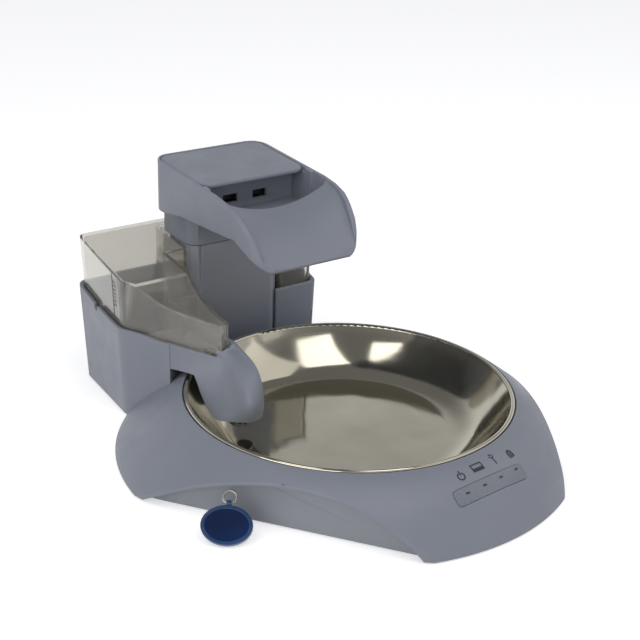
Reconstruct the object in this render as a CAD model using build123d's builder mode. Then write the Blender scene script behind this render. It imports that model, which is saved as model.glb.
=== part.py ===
from build123d import *
import os
from math import cos, hypot, radians, sin

# Pet water fountain: a steel bowl in a low dome, a clear side reservoir, and a tower with a waterfall lip.
# Millimetres. X runs to the right, -Y to the front (indicator strip), +Z up.
# The origin is on the floor, midway between the front of the dome and the back of the reservoir.

os.makedirs("parts", exist_ok=True)

# ---------------------------------------------------------------- driving dimensions
bowl_y = -20.0  # axis of the bowl and of the dome
rim_z, rim_r, bead_r = 44.0, 119.9, 1.7  # top, outside and thickness of the bowl's rolled rim
dome_r, dome_top_r, dome_z = 170.0, 121.3, 43.0  # dome at the floor, dome beside the rim
dome_fall = 1.3  # how square the dome's shoulder is
front_pull = 3.0  # how much less the dome reaches at the front
shell = 2.6  # wall of the moulded covers
foot_z, tray_top = 1.0, 3.5  # underside and top of the tray
left_arch, right_arch = -55.2, 64.0  # bearings of the two arches from the front
arch_dist, skirt_dist = 135.5, 127.5  # distance of the arches, and of the tray wall seen under them
lobe_reach, lobe_round = 172.0, 60.0  # circle round the lobes, and the radius of their corners
arch_back_y = 50.0  # both arches end in front of this
gap = 0.5  # clearance between neighbouring mouldings
bowl_hole_r, ledge_z = 117.0, 40.3  # opening of the dome, and the ledge under the rim

back_y = 190.0  # back of the housing at its rim
wall, wall_lean = 2.5, 3.3  # housing wall, and how far it leans out over 80 mm
floor_low, floor_z = 4.0, 7.0  # floor of the housing
col_x, col_front, col_back, col_top = 42.0, 130.0, 175.0, 113.0  # tower column
seam_s = 34.8  # where the housing's diagonal wall ends and the outlet nose begins
diag = Vector(-116.0, 101.0)  # corner where the left wall turns towards the bowl
along = Vector(27.4, -37.7).normalized()  # plan direction of that diagonal wall

tank_wall, tank_inset = 2.2, 3.6  # clear wall, and how far it stands behind the housing's face
tank_low, wing_low = 24.0, 60.0  # underside of the tank in the housing, and over the bowl's rim
valve_x, valve_y = -70.5, 57.0  # outlet of the tank
pump_x, pump_y = -69.5, 16.5
pipe_r, pipe_bore = 3.0, 2.0

head_x, head_back, lip_x, lip_y = 50.0, 177.0, 43.0, 29.0
sleeve_low = 113.2  # the head stands on the column here
basin_z = 143.5
rim_back_z, head_slope = 176.0, 0.072  # top of the head at its back, and its fall per mm
lid_x, lid_front, lid_back, lid_thick = 46.5, 105.0, 174.4, 3.0
hinge_y = 166.0
basin_x, chamber_x, chamber_back = 47.3, 45.0, 174.0


# ---------------------------------------------------------------- helpers
def diagonal(run, inset=0.0):
    """Plan point on the diagonal wall: a run along it and an inset towards the tower."""
    return (diag.X + along.X * run - along.Y * inset, diag.Y + along.Y * run + along.X * inset)


def loop(points, radii=None):
    """Closed outline with a radius at each corner; 0 leaves a corner sharp."""
    with BuildSketch() as sketch:
        with BuildLine():
            Polyline(*points, close=True)
        make_face()
        for (px, py), r in zip(points, radii or []):
            if r:
                fillet(sketch.vertices().sort_by_distance((px, py))[0], r)
    return sketch.sketch


def prism(outline, z0, z1):
    """Upright block on an outline."""
    with BuildPart() as block:
        with BuildSketch(Plane.XY.offset(z0)):
            add(outline)
        extrude(amount=z1 - z0)
    return block.part


def box(x0, x1, y0, y1, z0, z1):
    """Block between two corners."""
    return prism(loop([(x0, y0), (x1, y0), (x1, y1), (x0, y1)]), z0, z1)


def side_block(points, x0, x1):
    """Block with a side view of (y, z) points, from x0 to x1."""
    with BuildPart() as block:
        with BuildSketch(Plane.YZ.offset(x0)):
            with BuildLine():
                Polyline(*points, close=True)
            make_face()
        extrude(amount=x1 - x0)
    return block.part


def plane_bar(plane, length, r, hole=0.0):
    """Round bar or tube that starts on a plane and follows its normal."""
    with BuildPart() as round_bar:
        with BuildSketch(plane):
            Circle(r)
            if hole:
                Circle(hole, mode=Mode.SUBTRACT)
        extrude(amount=length)
    return round_bar.part


def bar(x, y, z0, z1, r, hole=0.0):
    """Upright round bar or tube."""
    return plane_bar(Plane((x, y, z0)), z1 - z0, r, hole)


def turned(profile, x, y):
    """Solid of revolution about an upright axis, from (radius, z) points."""
    with BuildPart() as solid:
        with BuildSketch(Plane(origin=(x, y, 0), x_dir=(1, 0, 0), z_dir=(0, -1, 0))):
            with BuildLine():
                Polyline(*profile, close=True)
            make_face()
        revolve(axis=Axis((x, y, 0), (0, 0, 1)))
    return solid.part


def shifted(points, distance):
    """The same open line, moved sideways to the right of its run."""
    moved = []
    for k, (px, py) in enumerate(points):
        ax, ay = points[max(k - 1, 0)]
        bx, by = points[min(k + 1, len(points) - 1)]
        run = hypot(bx - ax, by - ay)
        moved.append((px + distance * (by - ay) / run, py - distance * (bx - ax) / run))
    return moved


def finish(name, part):
    """Label a finished piece and write it."""
    part.label = name
    export_step(part, f"parts/{name}.step")
    print(name, round(part.volume), part.is_valid, len(part.solids()))


# ---------------------------------------------------------------- dome: base shell and tray
def dome_radius(bearing, height, inset):
    """Radius of the dome at a bearing from the front (degrees) and a height."""
    share = min(max((80.0 - bearing) / 40.0, 0.0), 1.0)
    share = share * share * (3.0 - 2.0 * share)
    fullness = 1.0 + 0.6 * share
    fall = 1.0 - (height / (dome_z - inset)) ** dome_fall
    floor_r = dome_r - front_pull * share - inset
    return dome_top_r + (floor_r - dome_top_r) * max(fall, 0.0) ** (1.0 / fullness)


def dome(inset):
    """Solid dome, smaller by an inset."""
    steps = 36
    with BuildPart() as body:
        for share in (0.0, 0.1, 0.25, 0.45, 0.65, 0.82, 0.93, 1.0):
            height = (dome_z - inset) * share
            ring = []
            for k in range(steps):
                turn = 360.0 * k / steps
                r = dome_radius(180.0 - abs(180.0 - turn), height, inset)
                ring.append((-r * sin(radians(turn)), bowl_y - r * cos(radians(turn))))
            with BuildSketch(Plane.XY.offset(height)):
                with BuildLine():
                    Spline(*ring, periodic=True)
                make_face()
        loft()
    return body.part


def arch_plane(bearing, distance, shift=0.0, z=0.0):
    """Upright plane across an arch, facing out, with its origin shifted along the arch."""
    out = Vector(sin(radians(bearing)), -cos(radians(bearing)), 0)
    run = Vector(-out.Y, out.X, 0)
    return Plane(origin=Vector(0, bowl_y, z) + out * distance + run * shift, x_dir=run, z_dir=out)


def arch_cutter(distance):
    """Everything outside the lobes: a circle cut off by both arches, with its corners rounded."""
    depth = 2 * lobe_reach
    with BuildSketch(Plane.XY.offset(-5)) as lobes:
        with Locations((0, bowl_y)):
            Circle(lobe_reach)
        for bearing in (left_arch, right_arch):
            middle = arch_plane(bearing, distance + depth / 2).origin
            with Locations(Location((middle.X, middle.Y, 0), (0, 0, bearing))):
                Rectangle(depth, depth, mode=Mode.SUBTRACT)
        fillet(lobes.vertices(), lobe_round)
        with Locations((0, arch_back_y + depth / 2)):
            Rectangle(2 * depth, depth)
    with BuildPart() as cutter:
        with BuildSketch(Plane.XY.offset(-5)):
            with Locations((0, bowl_y)):
                Circle(lobe_reach + 40)
            add(lobes.sketch, mode=Mode.SUBTRACT)
        extrude(amount=80)
    return cutter.part


def lean_at(z):
    """How far the housing's outer walls have leaned out at a height."""
    return wall_lean * (z - foot_z) / 80.0


def back_corners(z, inset):
    """Rear left, crease, and rear right corners that the housing and the tank share."""
    lean = lean_at(z)
    back = back_y - wall_lean + lean - inset
    crease = diagonal(-1.5 - 1.5 * lean + 0.38 * inset, inset)
    return (-108.5 - lean + 0.9 * inset, back), crease, (77.0 + lean - inset, back)


def housing_outline(z, inset=0.0):
    """Plan of the reservoir housing at a height; its outer walls lean out towards the top."""
    rear_left, crease, rear_right = back_corners(z, inset)
    cut_x, cut_y = diagonal(seam_s, inset)
    points = [
        rear_left,
        crease,
        (cut_x - along.X * inset, cut_y - along.Y * inset),
        (-59.0 - inset, 99.0 + 0.51 * inset),
        (-59.0 - inset, col_front + inset),
        (rear_right[0], col_front + inset),
        rear_right,
    ]
    return loop(points, (9, 14, 0, 0, 0, 5, 9))


def tank_outline(z, inset=0.0):
    """Plan of the clear tank: main body, wing towards the bowl, and the arm behind the tower."""
    inside = tank_inset + inset
    rear_left, crease, rear_right = back_corners(z, inside)
    tip, wing_x, front = 43.0 + inset, -62.5 - inset, 133.5 + inset
    run = (diag.Y + along.X * inside - tip) / -along.Y
    notch_x, notch_y = col_x + 1.5 + inset, 178.0 + inset
    points = [
        rear_left,
        crease,
        diagonal(run, inside),
        (wing_x, tip),
        (wing_x, front),
        (-notch_x, front),
        (-notch_x, notch_y),
        (notch_x, notch_y),
        (notch_x, front),
        (rear_right[0], front),
        rear_right,
    ]
    tip_r = 3.0 - 0.7 * inset
    return loop(points, (7, 10, tip_r, tip_r, 0, 1.5, 1, 1, 1.5, 5, 7))


def leaning_block(outline, z0, z1, inset=0.0):
    """Solid between an outline at two heights."""
    with BuildPart() as block:
        for z in (z0, z1):
            with BuildSketch(Plane.XY.offset(z)):
                add(outline(z, inset))
        loft(ruled=True)
    return block.part


outer_dome = dome(0.0)
inner_dome = dome(shell)
small_dome = dome(shell + gap)
mid_dome = dome(1.4)

boss_r, screw_r, head_r, head_h = 4.0, 1.45, 2.9, 1.3
boss_points = [
    (-r * sin(radians(bearing)), bowl_y - r * cos(radians(bearing)))
    for r, bearing in ((150.0, 18.0), (150.0, -18.0), (148.0, 100.0), (148.0, -100.0))
]

# indicator strip on the front of the dome, turned a little to the right
strip_turn, strip_tilt = 3.6, 36.0
strip_w, strip_h = 64.0, 11.0
out_x, out_y = sin(radians(strip_turn)), -cos(radians(strip_turn))
strip_plane = Plane(
    origin=(144.3 * out_x, bowl_y + 144.3 * out_y, 33.0),
    x_dir=(-out_y, out_x, 0),
    z_dir=(out_x * sin(radians(strip_tilt)), out_y * sin(radians(strip_tilt)), cos(radians(strip_tilt))),
)
led_places = [(-21.0, 0.0), (-7.0, 0.0), (7.0, 0.0), (21.0, 0.0)]
board_z, board_t, board_screw_x = -11.5, 1.5, 27.0


def strip_block(margin, low, high):
    """Rounded block over the indicator strip, between two heights above its plane."""
    with BuildPart() as block:
        with BuildSketch(strip_plane.offset(low)):
            RectangleRounded(strip_w + 2 * margin, strip_h + 2 * margin, 3.0 + margin)
        extrude(amount=high - low)
    return block.part


def strip_bars(places, low, high, r):
    """Round bars square to the indicator strip."""
    with BuildPart() as bars:
        with BuildSketch(strip_plane.offset(low)):
            with Locations(*places):
                Circle(r)
        extrude(amount=high - low)
    return bars.part


board_screw_places = [(-board_screw_x, 0.0), (board_screw_x, 0.0)]

with BuildPart() as window_pocket:
    add(strip_block(0.15, -9, 9))
    add(mid_dome, mode=Mode.SUBTRACT)

with BuildPart() as shell_bosses:
    for px, py in boss_points:
        add(bar(px, py, tray_top + 0.1, 40.0, boss_r))
    add(strip_bars(board_screw_places, board_z + board_t, 6.0, 2.8))
    add(mid_dome, mode=Mode.INTERSECT)

with BuildPart() as base_shell:
    add(outer_dome)
    add(inner_dome, mode=Mode.SUBTRACT)
    with BuildSketch(Plane.XY.offset(ledge_z - 2.6)):
        with Locations((0, bowl_y)):
            Circle(dome_top_r + 2.5)
    extrude(amount=2.6)
    add(shell_bosses.part)
    add(bar(0, bowl_y, 0, dome_z, bowl_hole_r), mode=Mode.SUBTRACT)
    add(bar(0, bowl_y, ledge_z, dome_z + 5, rim_r + 0.7), mode=Mode.SUBTRACT)
    add(arch_cutter(arch_dist), mode=Mode.SUBTRACT)
    add(leaning_block(housing_outline, -5, 60, -gap), mode=Mode.SUBTRACT)
    add(box(-200, 200, col_front - gap, 220, -5, 60), mode=Mode.SUBTRACT)
    add(box(-200, 200, -200, 200, -5, foot_z), mode=Mode.SUBTRACT)
    add(window_pocket.part, mode=Mode.SUBTRACT)
    add(strip_bars(led_places, board_z + board_t, 9.0, 1.6), mode=Mode.SUBTRACT)
    add(strip_bars(board_screw_places, board_z - 1, -5.0, 1.05), mode=Mode.SUBTRACT)
    for px, py in boss_points:
        add(bar(px, py, 2.0, 12.0, screw_r + 0.05), mode=Mode.SUBTRACT)
finish("base_shell", base_shell.part)

with BuildPart() as indicator_window:
    add(strip_block(0.0, -9, 9))
    add(outer_dome, mode=Mode.INTERSECT)
    add(mid_dome, mode=Mode.SUBTRACT)
finish("indicator_window", indicator_window.part)

with BuildPart() as control_board:
    with BuildSketch(strip_plane.offset(board_z)):
        RectangleRounded(62, 12, 1.5)
        with Locations(*board_screw_places):
            Circle(1.2, mode=Mode.SUBTRACT)
    extrude(amount=board_t)
finish("control_board", control_board.part)

with BuildPart() as indicator_leds:
    add(strip_bars(led_places, board_z + board_t, -7.0, 1.4))
finish("indicator_leds", indicator_leds.part)

with BuildPart() as board_screws:
    add(strip_bars(board_screw_places, board_z - 1.2, board_z, 2.1))
    add(strip_bars(board_screw_places, board_z, -5.5, 1.0))
finish("board_screws", board_screws.part)

foot_r, foot_top = 8.0, 2.2
foot_points = [(-84, -98), (84, -98), (-122, 30), (122, 30), (-72, 160), (48, 160)]
bridge = loop([(-84, 75), (-50, 60), (60, 60), (60, 140), (-66, 140), (-84, 100)])
wide_bridge = loop([(-86, 68), (-46, 50), (66, 50), (66, 142), (-68, 142), (-86, 102)])

with BuildPart() as tray_plate:
    with BuildSketch(Plane.XY.offset(foot_z)):
        with Locations((0, bowl_y)):
            Circle(dome_r)
    extrude(amount=tray_top - foot_z)
    add(small_dome, mode=Mode.INTERSECT)
    add(box(-200, 200, col_front - gap, 220, -5, 60), mode=Mode.SUBTRACT)
    add(leaning_block(housing_outline, -5, 60, -gap), mode=Mode.SUBTRACT)
    add(prism(bridge, foot_z, tray_top))
    add(prism(housing_outline(foot_z, wall + 0.8), foot_z, tray_top))
    add(arch_cutter(skirt_dist), mode=Mode.SUBTRACT)

with BuildPart() as tray_skirt:
    add(small_dome)
    add(arch_cutter(skirt_dist - 2.5), mode=Mode.INTERSECT)
    add(arch_cutter(skirt_dist), mode=Mode.SUBTRACT)
    add(box(-200, 200, -200, 200, -5, tray_top), mode=Mode.SUBTRACT)

with BuildPart() as base_tray:
    add(tray_plate.part)
    add(tray_skirt.part)
    for px, py in boss_points:
        add(bar(px, py, 0, 5, screw_r + 0.25), mode=Mode.SUBTRACT)
        add(bar(px, py, 0, foot_z + head_h, head_r + 0.2), mode=Mode.SUBTRACT)
    for px, py in foot_points:
        add(bar(px, py, 0, foot_top, foot_r), mode=Mode.SUBTRACT)
finish("base_tray", base_tray.part)

with BuildPart() as base_screws:
    for px, py in boss_points:
        add(bar(px, py, foot_z, foot_z + head_h, head_r))
        add(bar(px, py, foot_z + head_h, 11.5, screw_r))
finish("base_screws", base_screws.part)

with BuildPart() as rubber_feet:
    for px, py in foot_points:
        add(bar(px, py, 0, foot_top, foot_r))
    fillet(rubber_feet.edges().filter_by_position(Axis.Z, -0.1, 0.1), 0.4)
finish("rubber_feet", rubber_feet.part)

coil_r = 96.0
with BuildPart() as tag_reader_coil:
    add(bar(0, bowl_y, tray_top, tray_top + 2.4, coil_r + 3, coil_r))
finish("tag_reader_coil", tag_reader_coil.part)

# ---------------------------------------------------------------- bowl
steel = 0.9
bowl_floor_z = 11.0
bowl_line = [(76, bowl_floor_z), (85, 12), (92, 14.9), (99, 20.4), (105.4, 27.2), (110.8, 34), (115.5, 40.8)]
under_line = shifted(bowl_line, steel)

with BuildPart() as water_bowl:
    with BuildSketch(Plane(origin=(0, bowl_y, 0), x_dir=(1, 0, 0), z_dir=(0, -1, 0))):
        with BuildLine():
            Line((0, bowl_floor_z), bowl_line[0])
            Spline(*bowl_line, tangents=((1, 0), (0.55, 0.83)))
            Line(bowl_line[-1], under_line[-1])
            Spline(*reversed(under_line), tangents=((-0.55, -0.83), (-1, 0)))
            Line(under_line[0], (0, under_line[0][1]))
            Line((0, under_line[0][1]), (0, bowl_floor_z))
        make_face()
        with Locations((rim_r - bead_r, rim_z - bead_r)):
            Circle(bead_r)
        with BuildLine():
            Polyline(
                bowl_line[-1],
                (rim_r - bead_r - 1.2, rim_z - 0.9),
                (rim_r - bead_r, rim_z - bead_r),
                under_line[-1],
                close=True,
            )
        make_face()
    revolve(axis=Axis((0, bowl_y, 0), (0, 0, 1)))
finish("water_bowl", water_bowl.part)


# ---------------------------------------------------------------- reservoir housing and tower column
left_rim = [(200, 81.6), (189, 80), (152, 74), (129, 72.5), (102, 71.5), (93, 70.3), (82, 67.3)]
left_rim += [(69.5, 65.3), (40, 61)]
right_rim = [(200, 82.6), (189, 80), (130, 60.5), (120, 57.2)]
column_gap, housing_gap_x = 0.4, 38.0  # clearance round the column, and half the opening in the front wall
column_outline = loop(
    [(-col_x, col_front), (col_x, col_front), (col_x, col_back), (-col_x, col_back)], (12, 12, 4, 4)
)


def column_plan(inset):
    """Plan of the column, smaller by an inset."""
    return offset(column_outline, amount=-inset)


def above(line, x0, x1):
    """Everything above a (y, z) line that runs from back to front."""
    return side_block([*line, (line[-1][0], 260), (line[0][0], 260)], x0, x1)


tube_path = [
    (pump_x, pump_y + 10.5, 32),
    (pump_x, 36, 32),
    (-76, 75, 52),
    (-80, 95.5, 52),
    (-80, 95.5, 15),
    (-80, 142, 15),
    (0, 150, 15),
    (0, 150, 147),
]


def riser(r, hole=0.0):
    """Round tube along the path from the pump to the head."""
    with BuildPart() as tube:
        with BuildLine() as path:
            FilletPolyline(*tube_path, radius=[14, 14, 8, 8, 12, 12])
        with BuildSketch(Plane(origin=tube_path[0], z_dir=(0, 1, 0))):
            Circle(r)
            if hole:
                Circle(hole, mode=Mode.SUBTRACT)
        sweep(path=path.line)
    return tube.part


jack_x, jack_z, jack_r = -60.0, 15.0, 4.8
pad_points = [(-96, 122), (-96, 168), (60, 160)]
column_screw_x, column_screw_y = 36.2, 166.0
tube_clearance = riser(pipe_r + 0.5)


def back_bar(x, z, y0, y1, r, hole=0.0):
    """Round bar or tube along Y."""
    return plane_bar(Plane(origin=(x, y0, z), x_dir=(1, 0, 0), z_dir=(0, 1, 0)), y1 - y0, r, hole)


notch_y, notch_z, notch_r = 151.4, 72.4, 2.9  # finger notch in the left rim

with BuildPart() as reservoir_housing:
    add(leaning_block(housing_outline, foot_z, 86))
    add(above(left_rim, -200, 20), mode=Mode.SUBTRACT)
    add(above(right_rim, 20, 200), mode=Mode.SUBTRACT)
    add(box(-125, -100, notch_y - notch_r, notch_y + notch_r, notch_z, 95), mode=Mode.SUBTRACT)
    notch_plane = Plane(origin=(-125, notch_y, notch_z), x_dir=(0, 1, 0), z_dir=(1, 0, 0))
    add(plane_bar(notch_plane, 25, notch_r), mode=Mode.SUBTRACT)
    add(leaning_block(housing_outline, floor_z, 95, wall), mode=Mode.SUBTRACT)
    add(leaning_block(housing_outline, -5, floor_low, wall), mode=Mode.SUBTRACT)
    add(prism(wide_bridge, -5, floor_low), mode=Mode.SUBTRACT)
    add(box(-housing_gap_x, housing_gap_x, 120, 133, floor_z, 95), mode=Mode.SUBTRACT)
    add(prism(column_plan(-column_gap), floor_z, 95), mode=Mode.SUBTRACT)
    add(leaning_block(tank_outline, wing_low - 0.6, 125, -0.6), mode=Mode.SUBTRACT)
    for px, py in pad_points:
        add(bar(px, py, floor_z, tank_low, 5.0, 3.2))
    add(tube_clearance, mode=Mode.SUBTRACT)
    add(back_bar(jack_x, jack_z, 176, 200, jack_r + 0.2), mode=Mode.SUBTRACT)
    for px in (-column_screw_x, column_screw_x):
        add(bar(px, column_screw_y, 0, 9, screw_r + 0.2), mode=Mode.SUBTRACT)
        add(bar(px, column_screw_y, 0, floor_low + head_h, head_r + 0.2), mode=Mode.SUBTRACT)
finish("reservoir_housing", reservoir_housing.part)

with BuildPart() as tower_column:
    add(prism(column_plan(0), floor_z, col_top))
    add(prism(column_plan(shell + 0.4), col_top - 8, col_top + 9))
    add(prism(column_plan(shell), floor_z - 1, col_top - 10), mode=Mode.SUBTRACT)
    add(prism(column_plan(shell + 2.6), floor_z - 1, col_top + 20), mode=Mode.SUBTRACT)
    for px in (-column_screw_x, column_screw_x):
        add(bar(px, column_screw_y, floor_z, 20, boss_r, screw_r + 0.05))
    add(box(-col_x - 1, -col_x + 6, 138, 153, floor_z - 1, 21), mode=Mode.SUBTRACT)
finish("tower_column", tower_column.part)

with BuildPart() as column_screws:
    for px in (-column_screw_x, column_screw_x):
        add(bar(px, column_screw_y, floor_low, floor_low + head_h, head_r))
        add(bar(px, column_screw_y, floor_low + head_h, 17, screw_r))
finish("column_screws", column_screws.part)

riser_tube = riser(pipe_r, pipe_bore)
finish("riser_tube", riser_tube)

with BuildPart() as power_jack:
    add(back_bar(jack_x, jack_z, 174, 187.7, jack_r))
    add(back_bar(jack_x, jack_z, 187.7, 189.0, 6.5))
    add(back_bar(jack_x, jack_z, 177, 190, 2.85), mode=Mode.SUBTRACT)
finish("power_jack", power_jack.part)

with BuildPart() as jack_nut:
    add(back_bar(jack_x, jack_z, 181.6, 184.4, 7.4, jack_r + 0.05))
finish("jack_nut", jack_nut.part)

# ---------------------------------------------------------------- outlet nose over the bowl's rim
# the nose in plan, from the housing's seam round to the inner side: flared lower edge, top and brow
nose_low = [(-95.5, 72.8), (-93, 50), (-93, 32), (-90.5, 15), (-82, 4.5), (-71, -2), (-62.5, 0), (-57, 7.5)]
nose_high = [(-95.5, 72.8), (-84.5, 58), (-77, 48), (-70, 38), (-65.5, 30), (-62, 23), (-59.2, 19), (-57, 22)]
nose_brow = nose_high[:3] + [(-72, 42.5), (-68, 41.6), (-64, 41.2), (-60, 41), (-57, 43)]
# height, and the share of the flare at the left and at the front
nose_levels = [(27, 1.0, 0.86), (34, 0.74, 1.0), (42, 0.44, 1.0), (50, 0.2, 0.86), (58, 0.06, 0.55)]
nose_levels += [(64, 0, 0)]
nose_side, nose_back, nose_wall = -57.0, 100.4, 2.4


def between(start, end, share):
    """Point part of the way from one to another."""
    return (start[0] + (end[0] - start[0]) * share, start[1] + (end[1] - start[1]) * share)


def nose_points(left_share, front_share):
    """Plan curve round the nose: 0 is its top, 1 its flared lower edge."""
    shares = [0.0, left_share, left_share, left_share, (left_share + front_share) / 2] + [front_share] * 3
    return [between(high, low, share) for high, low, share in zip(nose_high, nose_low, shares)]


def nose_section(points, inset):
    """Closed plan section of the nose."""
    curve = shifted(points, -inset)
    curve[-1] = (nose_side - inset, curve[-1][1])
    back = (nose_side - inset, nose_back)
    with BuildSketch() as section:
        with BuildLine():
            Spline(*curve)
            Polyline(curve[-1], back, curve[0])
        make_face()
    return section.sketch


def nose_body(inset, low, high):
    """Loft of the nose between two heights."""
    levels = [(z, nose_points(left, front)) for z, left, front in nose_levels] + [(70, nose_brow)]
    levels[0] = (low, levels[0][1])
    with BuildPart() as body:
        for z, points in levels:
            if z <= high:
                with BuildSketch(Plane.XY.offset(z)):
                    add(nose_section(points, inset))
        loft()
    return body.part


over_bowl = [(0, 27), (97, 27), (100, 28.5), (104, 32), (108, 37), (112, 43.5), (114, 46.5), (160, 46.5)]
bowl_keep_out = turned([(0, -5), *over_bowl, (160, -5)], 0, bowl_y)

nose_rim = [(100.5, 71.4), (93, 70.3), (82, 67.3), (69.5, 65.3), (51, 63), (43.5, 62)]
top_line = [(200, 121), (188, 119), (104, 109), (97.8, 107.8), (93.7, 103), (88, 99.6), (82.4, 96)]
top_line += [(75.9, 93), (69.5, 91), (56.5, 88), (46, 86.7), (30, 86)]
wing_back = 104.0
cap_r, cap_low, neck_r, neck_low, neck_bore = 7.0, 50.5, 5.5, 54.0, 4.2

tip_gap, tip_slot_z = 2.0, 56.0
with BuildPart() as tip_slot:
    add(leaning_block(tank_outline, tip_slot_z, 80, -tip_gap))
    add(box(-95, -50, 30, 52, tip_slot_z, 80), mode=Mode.INTERSECT)

with BuildPart() as outlet_nose:
    add(nose_body(0.0, 24, 70))
    add(nose_body(nose_wall, 23, 58), mode=Mode.SUBTRACT)
    add(above(nose_rim, -200, -61.9), mode=Mode.SUBTRACT)
    add(leaning_block(tank_outline, wing_low - 0.6, 125, -0.6), mode=Mode.SUBTRACT)
    add(tip_slot.part, mode=Mode.SUBTRACT)
    add(bowl_keep_out, mode=Mode.SUBTRACT)
    add(bar(valve_x, valve_y, 40, 62, cap_r + 0.9), mode=Mode.SUBTRACT)
    add(tube_clearance, mode=Mode.SUBTRACT)
    add(leaning_block(housing_outline, -5, 95), mode=Mode.SUBTRACT)
with BuildPart() as nose_bridge:
    add(box(-90, nose_side - 1, valve_y - 1.5, valve_y + 1.5, 47.9, cap_low - 0.8))
    add(nose_body(1.0, 24, 58), mode=Mode.INTERSECT)
with BuildPart() as outlet_nose_full:
    add(outlet_nose.part)
    add(nose_bridge.part)
finish("outlet_nose", outlet_nose_full.part)

# ---------------------------------------------------------------- pump in the nose
pump_low = 27.5
with BuildPart() as pump_body:
    add(bar(pump_x, pump_y, pump_low, 36.5, 9.5))
    add(bar(pump_x, pump_y, 36.5, 40.4, 7.0))
    add(box(pump_x, nose_side - nose_wall, pump_y - 2, pump_y + 2, 37, 39.5))
    add(back_bar(pump_x, 32, pump_y + 8, pump_y + 16, pipe_bore - 0.05))
    add(bar(pump_x, pump_y, 29, 34.6, 7.4), mode=Mode.SUBTRACT)
    add(bar(pump_x, pump_y, 34, 38.8, 4.1), mode=Mode.SUBTRACT)
    add(bar(pump_x, pump_y, 38, 40.0, 0.65), mode=Mode.SUBTRACT)
    add(bar(pump_x, pump_y, pump_low - 1, 30, 3.0), mode=Mode.SUBTRACT)
    add(back_bar(pump_x, 32, pump_y + 5, pump_y + 20, 1.2), mode=Mode.SUBTRACT)
finish("pump_body", pump_body.part)

with BuildPart() as pump_impeller:
    add(bar(pump_x, pump_y, 29.5, 33.8, 2.2))
    with BuildSketch(Plane((pump_x, pump_y, 29.5))):
        with PolarLocations(3.9, 5):
            Rectangle(5.0, 0.8)
    extrude(amount=3.6)
    add(bar(pump_x, pump_y, 29, 34, 0.6), mode=Mode.SUBTRACT)
finish("pump_impeller", pump_impeller.part)
finish("rotor_magnet", bar(pump_x, pump_y, 33.8, 38.2, 3.7, 0.6))
finish("impeller_shaft", bar(pump_x, pump_y, 29.5, 39.6, 0.6))

with BuildPart() as intake_strainer:
    add(bar(pump_x, pump_y, 20.4, pump_low, 8.6))
    add(bar(pump_x, pump_y, 21.7, pump_low + 1, 7.3), mode=Mode.SUBTRACT)
    with BuildSketch(Plane((pump_x, pump_y, 22.6))):
        with PolarLocations(8.0, 14):
            Rectangle(4.0, 1.7)
    extrude(amount=3.4, mode=Mode.SUBTRACT)
finish("intake_strainer", intake_strainer.part)

# ---------------------------------------------------------------- clear tank, cap and valve
inner_top = [(y, z - tank_wall - 0.2) for y, z in top_line]
with BuildPart() as tank_space:
    add(leaning_block(tank_outline, tank_low + tank_wall, 130, tank_wall))
    add(above(inner_top, -200, 200), mode=Mode.SUBTRACT)
    add(box(-200, 200, -50, wing_back + tank_wall, 0, wing_low + tank_wall), mode=Mode.SUBTRACT)

with BuildPart() as water_tank:
    add(leaning_block(tank_outline, tank_low, 130))
    add(above(top_line, -200, 200), mode=Mode.SUBTRACT)
    add(box(-200, 200, -50, wing_back, 0, wing_low), mode=Mode.SUBTRACT)
    add(bar(valve_x, valve_y, neck_low, wing_low + 1, neck_r))
    add(tank_space.part, mode=Mode.SUBTRACT)
    add(bar(valve_x, valve_y, neck_low - 1, wing_low + 5, neck_bore), mode=Mode.SUBTRACT)
    add(box(valve_x - neck_bore - 0.5, valve_x + neck_bore + 0.5, valve_y - 0.8, valve_y + 0.8, 60.4, 61.6))
finish("water_tank", water_tank.part)

with BuildPart() as tank_cap:
    add(bar(valve_x, valve_y, cap_low, 58.6, cap_r))
    add(bar(valve_x, valve_y, 53, 60, neck_r + 0.2), mode=Mode.SUBTRACT)
    add(bar(valve_x, valve_y, 53, 54.1, 3.6))
    add(bar(valve_x, valve_y, cap_low - 1, 55, 1.5), mode=Mode.SUBTRACT)
    with BuildSketch(Plane((valve_x, valve_y, cap_low))):
        with PolarLocations(cap_r, 18):
            Rectangle(0.8, 1.0)
    extrude(amount=7.0, mode=Mode.SUBTRACT)
finish("tank_cap", tank_cap.part)
finish("cap_gasket", bar(valve_x, valve_y, 53, neck_low, neck_r, neck_bore))

with BuildPart() as valve_plunger:
    add(bar(valve_x, valve_y, 50.0, 56.4, 1.1))
    add(bar(valve_x, valve_y, 55.0, 56.4, 3.4))
finish("valve_plunger", valve_plunger.part)
finish("valve_seal", bar(valve_x, valve_y, 54.2, 55.0, 3.2, 1.1))

with BuildPart() as valve_spring:
    with BuildLine() as coil:
        Helix(pitch=1.1, height=3.4, radius=2.3, center=(valve_x, valve_y, 56.7))
    with BuildSketch(Plane(origin=coil.line @ 0, z_dir=coil.line % 0)):
        Circle(0.25)
    sweep(path=coil.line, is_frenet=True)
finish("valve_spring", valve_spring.part)

# ---------------------------------------------------------------- spout head, plate and filter


def rim_at(y, drop=0.0):
    """Height of the head's side rims, or a drop below them."""
    return rim_back_z - head_slope * (head_back - y) - drop


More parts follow.
